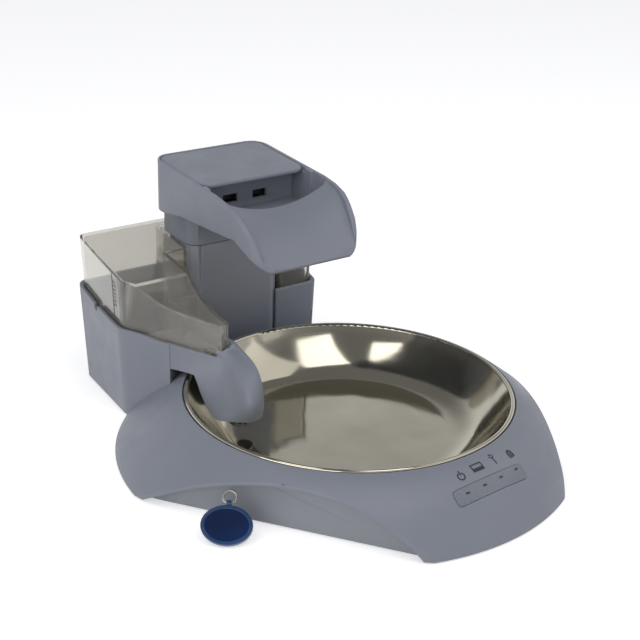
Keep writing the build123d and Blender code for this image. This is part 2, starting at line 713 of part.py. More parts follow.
# side view of the head, from its back over the rims to the lip, and back underneath
head_top = [(head_back, rim_back_z), (84, 169.3), (70, 167), (58, 163), (49, 156), (41, 147.8)]
head_top += [(33, 135), (lip_y, 124.6)]
head_under = [(30, 122.4), (44, 134.8), (58, 142.2), (88, 140.6), (132, 138.6), (158, 134.5)]
head_under += [(head_back, 134.5)]
plan_half = [(head_x, head_back), (head_x, 66), (49.6, 54), (47.6, 42), (lip_x, lip_y)]
plan_radii = (14, 30, 30, 30, 15)
head_plan = loop(
    plan_half + [(-x, y) for x, y in reversed(plan_half)], plan_radii + tuple(reversed(plan_radii))
)
# the chute: y, half width, height in the middle and at the side
chute = [(84, basin_x, 155.2, 168), (76, basin_x, 153, 165.2), (60, 46.4, 147, 158.5), (45, 44, 138, 144)]
chute += [(30, 40.6, 125.6, 129.5), (20, 38, 116.5, 120)]
lip_round_x, lip_round_r, lip_low_z = 50.0, 22.0, 122.0
hinge_z = rim_at(hinge_y, 1.9)
pin_r, pin_in, pin_out = 1.1, 42.0, 48.2


def slope_block(x, y0, y1, drop0, drop1):
    """Block under the sloping rims, between two drops below them."""
    low = [(y0, rim_at(y0, drop1)), (y1, rim_at(y1, drop1))]
    high = [(y1, rim_at(y1, drop0)), (y0, rim_at(y0, drop0))]
    return side_block(low + high, -x, x)


def cross_bar(x0, x1, y, z, r):
    """Round bar along X."""
    return plane_bar(Plane(origin=(x0, y, z), x_dir=(0, 1, 0), z_dir=(1, 0, 0)), x1 - x0, r)


with BuildPart() as chute_space:
    for y, half, middle, side in chute:
        with BuildSketch(Plane(origin=(0, y, 0), x_dir=(1, 0, 0), z_dir=(0, -1, 0))):
            with BuildLine():
                ThreePointArc((-half, side), (0, middle), (half, side))
                Polyline((half, side), (half, 200), (-half, 200), (-half, side))
            make_face()
    loft()

# what the rounded lower corners of the lip leave out
with BuildPart() as lip_corners:
    add(box(-60, 60, 15, 60, 100, lip_low_z + lip_round_r))
    with BuildSketch(Plane(origin=(0, 60, lip_low_z + 50), x_dir=(1, 0, 0), z_dir=(0, -1, 0))):
        RectangleRounded(2 * lip_round_x, 100, lip_round_r)
    extrude(amount=60, mode=Mode.SUBTRACT)

basin_plan = loop([(-basin_x, 79), (basin_x, 79), (basin_x, 96), (-basin_x, 96)], (4, 4, 0, 0))
chamber_plan = loop(
    [(-chamber_x, 92), (chamber_x, 92), (chamber_x, chamber_back), (-chamber_x, chamber_back)], (0, 0, 9, 9)
)

recess_x, recess_back = lid_x + 0.5, lid_back + 0.6
recess_corners = [(-recess_x, 90), (recess_x, 90), (recess_x, recess_back), (-recess_x, recess_back)]
with BuildPart() as lid_recess:
    add(slope_block(recess_x, lid_front - 1, recess_back, -20, 3.5))
    add(box(-recess_x, recess_x, hinge_y - 7.5, recess_back, 166, 190))
    add(prism(loop(recess_corners, (0, 0, 9.5, 9.5)), 100, 200), mode=Mode.INTERSECT)

with BuildPart() as spout_head:
    add(prism(head_plan, 100, 200))
    add(side_block(head_top + head_under, -70, 70), mode=Mode.INTERSECT)
    add(prism(column_plan(0), sleeve_low, 141))
    add(chute_space.part, mode=Mode.SUBTRACT)
    add(prism(basin_plan, basin_z, 200), mode=Mode.SUBTRACT)
    add(prism(chamber_plan, basin_z, 200), mode=Mode.SUBTRACT)
    add(lid_recess.part, mode=Mode.SUBTRACT)
    add(lip_corners.part, mode=Mode.SUBTRACT)
    add(prism(column_plan(shell), sleeve_low - 1, 135), mode=Mode.SUBTRACT)
    add(bar(0, 150, 130, 150, pipe_r + 0.5), mode=Mode.SUBTRACT)
    add(cross_bar(-pin_out - 0.4, pin_out + 0.4, hinge_y, hinge_z, pin_r + 0.05), mode=Mode.SUBTRACT)
finish("spout_head", spout_head.part)

with BuildPart() as head_seal:
    add(bar(0, 150, basin_z, basin_z + 2.0, 6.0, pipe_r + 0.3))
finish("head_seal", head_seal.part)

plate_side = [(120, basin_z), (122.5, basin_z), (122.5, rim_at(122.5, 3.9)), (120, rim_at(120, 3.9))]
with BuildPart() as dispenser_plate:
    add(side_block(plate_side, -chamber_x + 0.4, chamber_x - 0.4))
    for px in (-13.5, 13.5):
        add(box(px - 6.5, px + 6.5, 118, 125, 148, 154.6), mode=Mode.SUBTRACT)
finish("dispenser_plate", dispenser_plate.part)

filter_x, filter_front, filter_back = 42.0, 127.0, 170.0
filter_mid, filter_wall = (filter_front + filter_back) / 2, 1.8
with BuildPart() as filter_cartridge:
    add(box(-filter_x, filter_x, filter_front, filter_back, 148, 162))
    with BuildSketch(Plane.XY.offset(149.6)):
        with Locations((0, filter_mid)):
            Rectangle(2 * (filter_x - filter_wall), filter_back - filter_front - 2 * filter_wall)
    extrude(amount=20, mode=Mode.SUBTRACT)
    with BuildSketch(Plane.XY.offset(147)):
        with Locations((0, filter_mid)):
            with GridLocations(16, 12, 5, 3):
                Rectangle(13, 9.5)
    extrude(amount=4, mode=Mode.SUBTRACT)
    with Locations((0, filter_mid, basin_z)):
        with GridLocations(2 * filter_x - 8, filter_back - filter_front - 6, 2, 2):
            Cylinder(2.5, 148.2 - basin_z, align=(Align.CENTER, Align.CENTER, Align.MIN))
finish("filter_cartridge", filter_cartridge.part)

foam_x, foam_y = filter_x - filter_wall - 0.6, (filter_back - filter_front) / 2 - filter_wall - 0.6
finish("filter_foam", box(-foam_x, foam_x, filter_mid - foam_y, filter_mid + foam_y, 149.8, 158.6))

with BuildPart() as filter_cover:
    with BuildSketch(Plane.XY.offset(159.0)):
        with Locations((0, filter_mid)):
            Rectangle(2 * foam_x + 0.4, 2 * foam_y + 0.4)
            with GridLocations(8, 11.5, 9, 3):
                Rectangle(4.5, 8.8, mode=Mode.SUBTRACT)
    extrude(amount=1.8)
finish("filter_cover", filter_cover.part)

lid_corners = [(-lid_x, lid_front), (lid_x, lid_front), (lid_x, lid_back), (-lid_x, lid_back)]
lid_plan = loop(lid_corners, (9, 9, 9, 9))
with BuildPart() as head_lid:
    add(slope_block(lid_x, lid_front, lid_back, 0.4, 0.4 + lid_thick))
    add(prism(lid_plan, 100, 200), mode=Mode.INTERSECT)
    for x0, x1 in ((-lid_x - 1, -pin_in), (pin_in, lid_x + 1)):
        add(cross_bar(x0, x1, hinge_y, hinge_z, pin_r + 0.02), mode=Mode.SUBTRACT)
finish("head_lid", head_lid.part)

with BuildPart() as lid_pins:
    for x0, x1 in ((-pin_out, -pin_in), (pin_in, pin_out)):
        add(cross_bar(x0, x1, hinge_y, hinge_z, pin_r))
finish("lid_pins", lid_pins.part)

# ---------------------------------------------------------------- collar tag that leans on the left arch
tag_bearing, tag_dist, tag_shift, tag_tilt = -40.0, 149.2, -70.5, 48.0
tag_w, tag_h, tag_t, tag_rim = 34.0, 26.5, 4.0, 2.6
lug_v, lug_r, lug_hole, lug_len = 27.9, 2.3, 1.5, 3.0
ring_r, ring_wire = 4.4, 0.8
tag_foot = arch_plane(tag_bearing, tag_dist, tag_shift, 0.15)
tag_face_dir = tag_foot.z_dir * cos(radians(tag_tilt)) + Vector(0, 0, 1) * sin(radians(tag_tilt))
tag_plane = Plane(origin=tag_foot.origin, x_dir=tag_foot.x_dir, z_dir=tag_face_dir)


def tag_at(v, n):
    """The tag's own plane, moved up its face and out of it."""
    return Plane(origin=tag_plane.from_local_coords((0, v, n)), x_dir=tag_plane.x_dir, z_dir=tag_plane.z_dir)


def lug_plane(across):
    """Plane square to the lug's hole, at a distance across the tag."""
    origin = tag_plane.from_local_coords((across, lug_v, tag_t / 2))
    return Plane(origin=origin, x_dir=tag_plane.z_dir, z_dir=tag_plane.x_dir)


with BuildPart() as collar_tag:
    with BuildSketch(tag_at(tag_h / 2, 0)):
        Ellipse(tag_w / 2, tag_h / 2)
    extrude(amount=tag_t)
    with BuildSketch(lug_plane(-lug_len / 2)):
        Circle(lug_r)
    extrude(amount=lug_len)
    with BuildSketch(lug_plane(-lug_len)):
        Circle(lug_hole)
    extrude(amount=2 * lug_len, mode=Mode.SUBTRACT)
    with BuildSketch(tag_at(tag_h / 2, tag_t - 1.0)):
        Ellipse(tag_w / 2 - tag_rim, tag_h / 2 - tag_rim)
    extrude(amount=2.0, mode=Mode.SUBTRACT)
finish("collar_tag", collar_tag.part)

with BuildPart() as tag_inlay:
    with BuildSketch(tag_at(tag_h / 2, tag_t - 1.0)):
        Ellipse(tag_w / 2 - tag_rim - 0.05, tag_h / 2 - tag_rim - 0.05)
    extrude(amount=0.8)
finish("tag_inlay", tag_inlay.part)

with BuildPart() as tag_ring:
    with Locations(tag_at(lug_v + ring_r, tag_t / 2)):
        Torus(ring_r, ring_wire)
finish("tag_ring", tag_ring.part)
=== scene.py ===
import bpy
import bmesh
import math
from mathutils import Matrix, Vector
from mathutils.bvhtree import BVHTree


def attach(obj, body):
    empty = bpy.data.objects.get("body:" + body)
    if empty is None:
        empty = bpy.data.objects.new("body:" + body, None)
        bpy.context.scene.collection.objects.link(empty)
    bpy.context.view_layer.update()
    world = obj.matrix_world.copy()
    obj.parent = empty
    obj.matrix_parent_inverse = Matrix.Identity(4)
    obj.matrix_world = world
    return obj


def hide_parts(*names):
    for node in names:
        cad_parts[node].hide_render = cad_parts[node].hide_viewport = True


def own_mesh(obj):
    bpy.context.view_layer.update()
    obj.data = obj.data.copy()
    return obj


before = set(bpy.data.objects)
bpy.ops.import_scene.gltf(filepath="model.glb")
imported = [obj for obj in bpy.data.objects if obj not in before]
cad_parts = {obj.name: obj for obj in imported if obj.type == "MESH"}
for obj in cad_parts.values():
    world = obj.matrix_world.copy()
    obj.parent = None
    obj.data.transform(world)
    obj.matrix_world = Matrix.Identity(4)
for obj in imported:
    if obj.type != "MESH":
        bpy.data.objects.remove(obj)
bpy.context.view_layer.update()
scene = bpy.context.scene
scene.view_settings.view_transform = "Standard"
print("frame loaded")

# camera: position in metres, the way it looks, lens
cameraSetup = {
    "place": (-0.5269, -0.6845, 0.4626),
    "turn": -36.87,  # degrees about Z, 0 looks along +Y
    "down": 23.33,
    "roll": 1.89,
    "lens": 73.125,  # millimetres, as is the sensor
    "sensor": 36,
    "imageSize": 640,  # pixels, the scale that the marks' places are given in
}


def addCamera(setup):
    turn, down, roll = (math.radians(setup[k]) for k in ("turn", "down", "roll"))
    back = Vector((math.sin(turn) * math.cos(down), -math.cos(turn) * math.cos(down), math.sin(down)))
    right = Vector((math.cos(turn), math.sin(turn), 0))
    up = back.cross(right)
    tiltedRight = right * math.cos(roll) + up * math.sin(roll)
    tiltedUp = up * math.cos(roll) - right * math.sin(roll)
    data = bpy.data.cameras.new("camera")
    data.sensor_width = setup["sensor"]
    data.lens = setup["lens"]
    camera = bpy.data.objects.new("camera", data)
    scene.collection.objects.link(camera)
    rotation = Matrix((tiltedRight, tiltedUp, back)).transposed()
    camera.matrix_world = Matrix.Translation(setup["place"]) @ rotation.to_4x4()
    scene.camera = camera


addCamera(cameraSetup)
print("camera set")


# node helpers: a number or colour is written into a socket, an output is linked to it
def feed(tree, value, socket):
    if isinstance(value, (int, float, tuple)):
        socket.default_value = value
    else:
        tree.links.new(value, socket)


def mathNode(tree, operation, first, second=0.0, clamp=False):
    node = tree.nodes.new("ShaderNodeMath")
    node.operation = operation
    node.use_clamp = clamp
    feed(tree, first, node.inputs[0])
    feed(tree, second, node.inputs[1])
    return node.outputs[0]


def rangeNode(tree, value, fromMin, fromMax, toMin, toMax, interpolation="LINEAR"):
    node = tree.nodes.new("ShaderNodeMapRange")
    node.interpolation_type = interpolation
    feed(tree, value, node.inputs["Value"])
    feed(tree, fromMin, node.inputs["From Min"])
    feed(tree, fromMax, node.inputs["From Max"])
    feed(tree, toMin, node.inputs["To Min"])
    feed(tree, toMax, node.inputs["To Max"])
    return node.outputs["Result"]


def mixFloat(tree, factor, first, second):
    node = tree.nodes.new("ShaderNodeMix")
    node.data_type = "FLOAT"
    feed(tree, factor, node.inputs["Factor"])
    feed(tree, first, node.inputs["A"])
    feed(tree, second, node.inputs["B"])
    return node.outputs["Result"]


def mixColor(tree, factor, first, second):
    node = tree.nodes.new("ShaderNodeMix")
    node.data_type = "RGBA"
    feed(tree, factor, node.inputs[0])
    feed(tree, first, node.inputs[6])
    feed(tree, second, node.inputs[7])
    return node.outputs[2]


def noiseNode(tree, vector, scale, detail=3.0, rough=0.5):
    node = tree.nodes.new("ShaderNodeTexNoise")
    feed(tree, detail, node.inputs["Detail"])
    feed(tree, rough, node.inputs["Roughness"])
    feed(tree, scale, node.inputs["Scale"])
    feed(tree, vector, node.inputs["Vector"])
    return node.outputs["Fac"]


def objectPlace(tree):
    return tree.nodes.new("ShaderNodeTexCoord").outputs["Object"]


def newGroup(name, inputs, outputs):
    group = bpy.data.node_groups.new(name, "ShaderNodeTree")
    for socketName, kind, value in inputs:
        socket = group.interface.new_socket(name=socketName, in_out="INPUT", socket_type=kind)
        socket.default_value = value
    for socketName, kind in outputs:
        group.interface.new_socket(name=socketName, in_out="OUTPUT", socket_type=kind)
    return group, group.nodes.new("NodeGroupInput"), group.nodes.new("NodeGroupOutput")


# studio: pale paper, an even sky, soft lamps and two window panes
studio = {
    "floorColor": (0.80, 0.80, 0.80),
    "floorHalf": 9.0,
    "floorRough": 0.9,
    "floorGloss": 0.1,
    "floorGlow": 0.5,  # added for the camera, gloss and glass only
    "worldColor": (0.95, 0.96, 1.0),
    "worldLight": 0.47,
    "overheadShade": 0.22,  # what gloss sees straight up, against 1 at the horizon
    "shadeStart": 0.2,  # sine of the height where the shade starts
    "shadeFull": 0.75,
    "paneGlow": 7.5,  # W for each square metre of window pane
}
lamps = {
    "keyLamp": {
        "place": (1.1, -0.5, 1.45),
        "target": (0, 0, 0.05),
        "size": (1.2, 1.2),
        "power": 3.5,
        "color": (1, 0.99, 0.97),
    },
    "fillLamp": {"place": (-1.5, -0.6, 0.6), "target": (0, 0, 0.05), "size": (1.6, 1.0), "power": 9.5},
    "backLamp": {"place": (0.6, -1.6, 0.9), "target": (0, 0, 0.05), "size": (1.0, 0.8), "power": 1},
    "frontPane": {
        "place": (0.033, -0.695, 1.429),
        "target": (0.042, 0.073, 0.026),
        "size": (0.62, 0.84),
        "tall": (0.072, 0.43, 0.241),  # the way the pane's long side points
    },
    "leftPane": {
        "place": (-0.736, -0.089, 1.394),
        "target": (0.083, 0.039, 0.026),
        "size": (0.51, 0.66),
        "tall": (0.273, 0.233, 0.178),
    },
}


def lightPathShare(tree):
    path = tree.nodes.new("ShaderNodeLightPath")
    seen = mathNode(tree, "ADD", path.outputs["Is Camera Ray"], path.outputs["Is Glossy Ray"], True)
    return mathNode(tree, "ADD", seen, path.outputs["Is Transmission Ray"], True)


def addFloor(setup):
    half = setup["floorHalf"]
    corners = [(-half, -half, 0), (half, -half, 0), (half, half, 0), (-half, half, 0)]
    mesh = bpy.data.meshes.new("floor")
    mesh.from_pydata(corners, [], [(0, 1, 2, 3)])
    floor = bpy.data.objects.new("floor", mesh)
    scene.collection.objects.link(floor)
    material = bpy.data.materials.new("floorPaper")
    material.use_nodes = True
    tree = material.node_tree
    shader = tree.nodes["Principled BSDF"]
    shader.inputs["Base Color"].default_value = (*setup["floorColor"], 1)
    shader.inputs["Roughness"].default_value = setup["floorRough"]
    shader.inputs["Specular IOR Level"].default_value = setup["floorGloss"]
    shader.inputs["Emission Color"].default_value = (1, 1, 1, 1)
    glow = mathNode(tree, "MULTIPLY", lightPathShare(tree), setup["floorGlow"])
    tree.links.new(glow, shader.inputs["Emission Strength"])
    mesh.materials.append(material)


def addWorld(setup):
    world = bpy.data.worlds.new("studioWorld")
    scene.world = world
    world.use_nodes = True
    tree = world.node_tree
    background = tree.nodes["Background"]
    background.inputs["Color"].default_value = (*setup["worldColor"], 1)
    split = tree.nodes.new("ShaderNodeSeparateXYZ")
    tree.links.new(tree.nodes.new("ShaderNodeTexCoord").outputs["Generated"], split.inputs[0])
    reach = (setup["shadeStart"], setup["shadeFull"])
    fade = rangeNode(tree, split.outputs["Z"], *reach, 1.0, setup["overheadShade"], "SMOOTHSTEP")
    glossy = tree.nodes.new("ShaderNodeLightPath").outputs["Is Glossy Ray"]
    seen = mixFloat(tree, glossy, 1.0, fade)
    strength = mixFloat(tree, lightPathShare(tree), setup["worldLight"], seen)
    tree.links.new(strength, background.inputs["Strength"])


def addLamp(name, setup):
    width, height = setup["size"]
    data = bpy.data.lights.new(name, "AREA")
    data.shape = "RECTANGLE"
    data.size = width
    data.size_y = height
    data.energy = setup.get("power", width * height * studio["paneGlow"])
    data.color = setup.get("color", (1, 1, 1))
    place = Vector(setup["place"])
    back = (place - Vector(setup["target"])).normalized()
    across = Vector(setup.get("tall", (0, 0, 1))).cross(back).normalized()
    rotation = Matrix((across, back.cross(across), back)).transposed()
    lamp = bpy.data.objects.new(name, data)
    scene.collection.objects.link(lamp)
    lamp.matrix_world = Matrix.Translation(place) @ rotation.to_4x4()


addFloor(studio)
addWorld(studio)
for lampName, lampSetup in lamps.items():
    addLamp(lampName, lampSetup)
print("studio lit")

# moulded plastic and rubber: spark grain, slow shade drift, paler worn edges
mouldedLook = {
    "driftScale": 9.0,
    "hazeScale": 60.0,
    "edgeStart": 0.53,
    "edgeFull": 0.62,
    "wornColor": (0.55, 0.57, 0.6, 1),
    "grainDepth": 0.0004,
}


def makeMouldedGroup(look):
    group, put, out = newGroup(
        "mouldedSurface",
        [
            ("Color", "NodeSocketColor", (0.2, 0.2, 0.2, 1)),
            ("Drift Color", "NodeSocketColor", (0.22, 0.22, 0.22, 1)),
            ("Grain Scale", "NodeSocketFloat", 2400.0),
            ("Rough Low", "NodeSocketFloat", 0.36),
            ("Rough High", "NodeSocketFloat", 0.5),
            ("Edge Wear", "NodeSocketFloat", 0.25),
        ],
        [("Color", "NodeSocketColor"), ("Roughness", "NodeSocketFloat"), ("Height", "NodeSocketFloat")],
    )
    place = objectPlace(group)
    drift = rangeNode(group, noiseNode(group, place, look["driftScale"], 2.0), 0.35, 0.65, 0, 1)
    haze = noiseNode(group, place, look["hazeScale"], 4.0)
    grain = noiseNode(group, place, put.outputs["Grain Scale"], 2.0)
    bend = group.nodes.new("ShaderNodeNewGeometry").outputs["Pointiness"]
    edge = rangeNode(group, bend, look["edgeStart"], look["edgeFull"], 0.0, put.outputs["Edge Wear"])
    body = mixColor(group, drift, put.outputs["Color"], put.outputs["Drift Color"])
    rough = rangeNode(group, haze, 0.3, 0.7, put.outputs["Rough Low"], put.outputs["Rough High"])
    group.links.new(mixColor(group, edge, body, look["wornColor"]), out.inputs["Color"])
    group.links.new(rough, out.inputs["Roughness"])
    group.links.new(grain, out.inputs["Height"])
    return group


# metal: faint turned lines round the bowl's middle, smears, a painted reflection of darker brown mottle over
# the smears, and a slow swell in the sheet
metalLook = {
    "bowlMiddle": (0, -0.02, 0),
    "smearScale": 14.0,
    "swellScale": 26.0,
    "lineShare": 0.45,  # of the roughness, the rest is smear
    # painted reflection: darker brown mottle that stands in for the dim reflections seen in the steel
    "paintedReflectionColor": (0.40, 0.37, 0.29, 1),
    "paintedReflectionShare": 0.4,
    "lineDepth": 0.0002,
}


def makePolishAndReflectionGroup(look):
    group, put, out = newGroup(
        "polishMarksAndPaintedReflection",
        [
            ("Color", "NodeSocketColor", (0.7, 0.7, 0.7, 1)),
            ("Rough Low", "NodeSocketFloat", 0.08),
            ("Rough High", "NodeSocketFloat", 0.2),
            ("Line Scale", "NodeSocketFloat", 900.0),
            ("Wave", "NodeSocketFloat", 0.0),
        ],
        [("Color", "NodeSocketColor"), ("Roughness", "NodeSocketFloat"), ("Height", "NodeSocketFloat")],
    )
    place = objectPlace(group)
    fromMiddle = group.nodes.new("ShaderNodeVectorMath")
    fromMiddle.operation = "SUBTRACT"
    fromMiddle.inputs[1].default_value = look["bowlMiddle"]
    group.links.new(place, fromMiddle.inputs[0])
    split = group.nodes.new("ShaderNodeSeparateXYZ")
    group.links.new(fromMiddle.outputs[0], split.inputs[0])
    squareX = mathNode(group, "MULTIPLY", split.outputs["X"], split.outputs["X"])
    squareY = mathNode(group, "MULTIPLY", split.outputs["Y"], split.outputs["Y"])
    radius = mathNode(group, "SQRT", mathNode(group, "ADD", squareX, squareY))
    ringPlace = group.nodes.new("ShaderNodeCombineXYZ")
    group.links.new(radius, ringPlace.inputs["X"])
    group.links.new(split.outputs["Z"], ringPlace.inputs["Y"])
    lines = noiseNode(group, ringPlace.outputs[0], put.outputs["Line Scale"], 4.0, 0.6)
    smear = noiseNode(group, place, look["smearScale"], 3.0)
    lineRough = mathNode(group, "MULTIPLY", lines, look["lineShare"])
    smearRough = mathNode(group, "MULTIPLY", smear, 1 - look["lineShare"])
    both = mathNode(group, "ADD", lineRough, smearRough)
    rough = rangeNode(group, both, 0.35, 0.65, put.outputs["Rough Low"], put.outputs["Rough High"])
    # painted reflection: how much of the darker brown mottle is mixed in, following the smear noise
    paintedReflection = rangeNode(group, smear, 0.35, 0.7, 0, look["paintedReflectionShare"])
    swell = mathNode(group, "MULTIPLY", noiseNode(group, place, look["swellScale"], 1.0), put.outputs["Wave"])
    group.links.new(rough, out.inputs["Roughness"])
    group.links.new(mixColor(group, paintedReflection, put.outputs["Color"], look["paintedReflectionColor"]), out.inputs["Color"])
    group.links.new(mathNode(group, "ADD", lines, swell), out.inputs["Height"])
    return group


mouldedGroup = makeMouldedGroup(mouldedLook)
polishAndReflectionGroup = makePolishAndReflectionGroup(metalLook)


def newMaterial(name):
    material = bpy.data.materials.new(name)
    material.use_nodes = True
    return material, material.node_tree, material.node_tree.nodes["Principled BSDF"]


def addBump(tree, shader, height, strength, distance):
    bump = tree.nodes.new("ShaderNodeBump")
    bump.inputs["Strength"].default_value = strength
    bump.inputs["Distance"].default_value = distance
    tree.links.new(height, bump.inputs["Height"])
    tree.links.new(bump.outputs["Normal"], shader.inputs["Normal"])


def placeSurface(tree, shader, group, values, bump, depth):
    node = tree.nodes.new("ShaderNodeGroup")
    node.node_tree = group
    for name, value in values.items():
        node.inputs[name].default_value = value
    tree.links.new(node.outputs["Color"], shader.inputs["Base Color"])
    tree.links.new(node.outputs["Roughness"], shader.inputs["Roughness"])
    addBump(tree, shader, node.outputs["Height"], bump, depth)


def mouldedMaterial(name, color, drift, grain=2400.0, rough=(0.36, 0.5), wear=0.25, bump=0.12, level=0.5):
    material, tree, shader = newMaterial(name)
    values = {
        "Color": (*color, 1),
        "Drift Color": (*drift, 1),
        "Grain Scale": grain,
        "Rough Low": rough[0],
        "Rough High": rough[1],
        "Edge Wear": wear,
    }
    shader.inputs["Specular IOR Level"].default_value = level
    placeSurface(tree, shader, mouldedGroup, values, bump, mouldedLook["grainDepth"])
    return material


def metalMaterial(name, color, rough, lines, bump=0.03, wave=0.0):
    material, tree, shader = newMaterial(name)
    values = {
        "Color": (*color, 1),
        "Rough Low": rough[0],
        "Rough High": rough[1],
        "Line Scale": lines,
        "Wave": wave,
    }
    shader.inputs["Metallic"].default_value = 1.0
    placeSurface(tree, shader, polishAndReflectionGroup, values, bump, metalLook["lineDepth"])
    return material


clearTankLook = {
    "color": (0.725, 0.71, 0.66, 1),
    "haze": (0.69, 0.675, 0.63, 1),
    "rough": (0.02, 0.07),
    "ior": 1.22,
    "clearness": 0.93,
    "coat": 0.7,
    "coatRough": 0.06,
    "shadowCut": 0.8,  # share of its own shadow that is let through
    "smearScale": 38.0,
    "cloudScale": 12.0,
    "waveScale": 24.0,
    "waveBump": 0.12,
    "waveDepth": 0.0006,
}


def clearMaterial(name, look):
    material, tree, shader = newMaterial(name)
    shader.inputs["Transmission Weight"].default_value = look["clearness"]
    shader.inputs["IOR"].default_value = look["ior"]
    shader.inputs["Coat Weight"].default_value = look["coat"]
    shader.inputs["Coat Roughness"].default_value = look["coatRough"]
    place = objectPlace(tree)
    smear = noiseNode(tree, place, look["smearScale"], 5.0)
    tree.links.new(rangeNode(tree, smear, 0.35, 0.75, *look["rough"]), shader.inputs["Roughness"])
    cloud = rangeNode(tree, noiseNode(tree, place, look["cloudScale"], 3.0), 0.35, 0.7, 0, 1)
    tree.links.new(mixColor(tree, cloud, look["color"], look["haze"]), shader.inputs["Base Color"])
    shadow = tree.nodes.new("ShaderNodeLightPath").outputs["Is Shadow Ray"]
    opacity = mathNode(tree, "SUBTRACT", 1.0, mathNode(tree, "MULTIPLY", shadow, look["shadowCut"]))
    tree.links.new(opacity, shader.inputs["Alpha"])
    wave = noiseNode(tree, place, look["waveScale"], 1.0)
    addBump(tree, shader, wave, look["waveBump"], look["waveDepth"])
    return material


mouldedFinishes = {
    "shellPlastic": {"color": (0.190, 0.205, 0.243), "drift": (0.206, 0.220, 0.257)},
    "shadowPlastic": {"color": (0.172, 0.184, 0.212), "drift": (0.186, 0.197, 0.225)},
    "darkPlastic": {"color": (0.02, 0.021, 0.024), "drift": (0.03, 0.031, 0.034), "grain": 1500.0},
    "whitePlastic": {"color": (0.72, 0.72, 0.7), "drift": (0.76, 0.75, 0.73), "grain": 1800.0},
    "softRubber": {
        "color": (0.022, 0.022, 0.023),
        "drift": (0.03, 0.03, 0.03),
        "grain": 900.0,
        "rough": (0.7, 0.85),
        "wear": 0.1,
        "bump": 0.3,
        "level": 0.3,
    },
    "paleSilicone": {
        "color": (0.62, 0.62, 0.6),
        "drift": (0.68, 0.67, 0.65),
        "grain": 700.0,
        "rough": (0.45, 0.6),
        "wear": 0.0,
    },
    "smokedStrip": {
        "color": (0.165, 0.18, 0.212),
        "drift": (0.175, 0.19, 0.222),
        "grain": 500.0,
        "rough": (0.22, 0.3),
        "wear": 0.0,
        "bump": 0.02,
    },
    "boardGreen": {
        "color": (0.01, 0.11, 0.045),
        "drift": (0.015, 0.14, 0.06),
        "grain": 1200.0,
        "rough": (0.25, 0.35),
        "wear": 0.3,
    },
    "lightLens": {
        "color": (0.75, 0.78, 0.82),
        "drift": (0.8, 0.82, 0.86),
        "grain": 500.0,
        "rough": (0.12, 0.2),
        "wear": 0.0,
        "bump": 0.02,
    },
    "filterFoam": {
        "color": (0.68, 0.68, 0.62),
        "drift": (0.55, 0.56, 0.5),
        "grain": 420.0,
        "rough": (0.85, 0.95),
        "wear": 0.0,
        "bump": 0.9,
        "level": 0.2,
    },
    "rotorFerrite": {
        "color": (0.05, 0.05, 0.055),
        "drift": (0.07, 0.07, 0.075),
        "grain": 900.0,
        "rough": (0.5, 0.65),
    },
    "tagBorder": {
        "color": (0.006, 0.035, 0.11),
        "drift": (0.015, 0.08, 0.2),
        "grain": 900.0,
        "rough": (0.12, 0.2),
        "wear": 0.3,
        "bump": 0.03,
    },
    "tagEnamel": {
        "color": (0.002, 0.011, 0.05),
        "drift": (0.004, 0.035, 0.15),
        "grain": 500.0,
        "rough": (0.05, 0.1),
        "wear": 0.0,
        "bump": 0.02,
    },
    "markInk": {
        "color": (0.02, 0.021, 0.024),
        "drift": (0.03, 0.031, 0.035),
        "grain": 900.0,
        "rough": (0.5, 0.65),
        "wear": 0.0,
        "bump": 0.02,
    },
    "tankInk": {
        "color": (0.04, 0.04, 0.038),
        "drift": (0.055, 0.055, 0.05),
        "grain": 900.0,
        "rough": (0.5, 0.65),
        "wear": 0.0,
        "bump": 0.02,
    },
}
metalFinishes = {
    "bowlSteel": {"color": (0.53, 0.50, 0.41), "rough": (0.05, 0.13), "lines": 700.0, "wave": 90.0},
    "screwSteel": {"color": (0.55, 0.55, 0.55), "rough": (0.25, 0.4), "lines": 2500.0},
    "ringSteel": {"color": (0.30, 0.30, 0.30), "rough": (0.2, 0.35), "lines": 2500.0},
    "coilCopper": {"color": (0.72, 0.33, 0.17), "rough": (0.2, 0.35), "lines": 3200.0, "bump": 0.3},
}
finishes = {name: mouldedMaterial(name, **values) for name, values in mouldedFinishes.items()}
finishes.update({name: metalMaterial(name, **values) for name, values in metalFinishes.items()})
finishes["clearTank"] = clearMaterial("clearTank", clearTankLook)

nodeFinish = {
    "base_shell": "shellPlastic",
    "base_tray": "shadowPlastic",
    "rubber_feet": "softRubber",
    "base_screws": "screwSteel",
    "indicator_window": "smokedStrip",
    "control_board": "boardGreen",
    "indicator_leds": "lightLens",
    "board_screws": "screwSteel",
    "tag_reader_coil": "coilCopper",
    "water_bowl": "bowlSteel",
    "reservoir_housing": "shellPlastic",
    "outlet_nose": "shellPlastic",
    "tower_column": "shellPlastic",
    "column_screws": "screwSteel",
    "riser_tube": "paleSilicone",
    "pump_body": "darkPlastic",
    "intake_strainer": "darkPlastic",
    "power_jack": "darkPlastic",
    "jack_nut": "screwSteel",
    "pump_impeller": "whitePlastic",
    "rotor_magnet": "rotorFerrite",
    "impeller_shaft": "screwSteel",
    "water_tank": "clearTank",
    "tank_cap": "whitePlastic",
    "cap_gasket": "paleSilicone",
    "valve_plunger": "whitePlastic",
    "valve_seal": "paleSilicone",
    "valve_spring": "screwSteel",
    "spout_head": "shellPlastic",
    "dispenser_plate": "shellPlastic",
    "filter_cartridge": "darkPlastic",
    "filter_foam": "filterFoam",
    "filter_cover": "darkPlastic",
    "head_seal": "paleSilicone",
    "head_lid": "shellPlastic",
    "lid_pins": "screwSteel",
    "collar_tag": "tagBorder",
    "tag_inlay": "tagEnamel",
    "tag_ring": "ringSteel",
}
for nodeName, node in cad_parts.items():
    node.data.materials.clear()
    node.data.materials.append(finishes[nodeFinish[nodeName]])
print("finishes placed")

